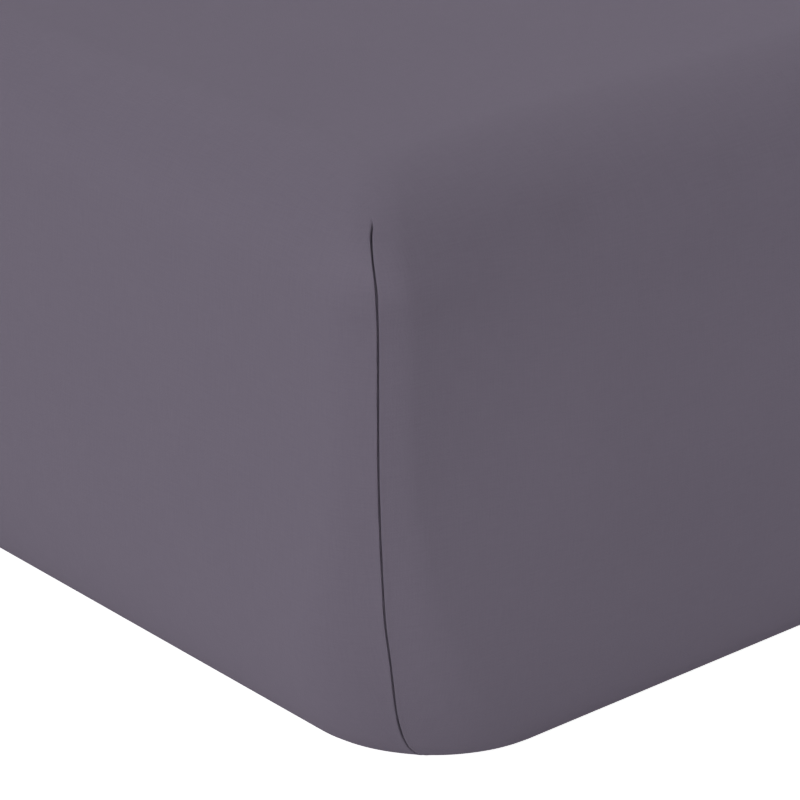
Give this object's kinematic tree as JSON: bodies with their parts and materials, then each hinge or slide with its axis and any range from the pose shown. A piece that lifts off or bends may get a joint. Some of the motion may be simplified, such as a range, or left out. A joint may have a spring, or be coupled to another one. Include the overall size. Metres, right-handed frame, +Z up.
{
  "type": "fitted sheet on a mattress",
  "caption": "Smooth mauve-grey fitted sheet pulled taut over a plain single mattress, with a seam at each corner and a hem turned under.",
  "frame": {"origin": "middle of the underside, on the surface that it rests on", "axes": "+X across the mattress, +Y along its length, +Z up"},
  "size_m": [0.9, 2, 0.25],
  "materials": {
    "sheet_cloth": "fine matte cotton, dusky mauve-grey",
    "mattress_cover": "plain woven off-white cover"
  },
  "bodies": {
    "root": {"fitted_sheet": "sheet_cloth", "mattress": "mattress_cover"}
  },
  "joints": []
}
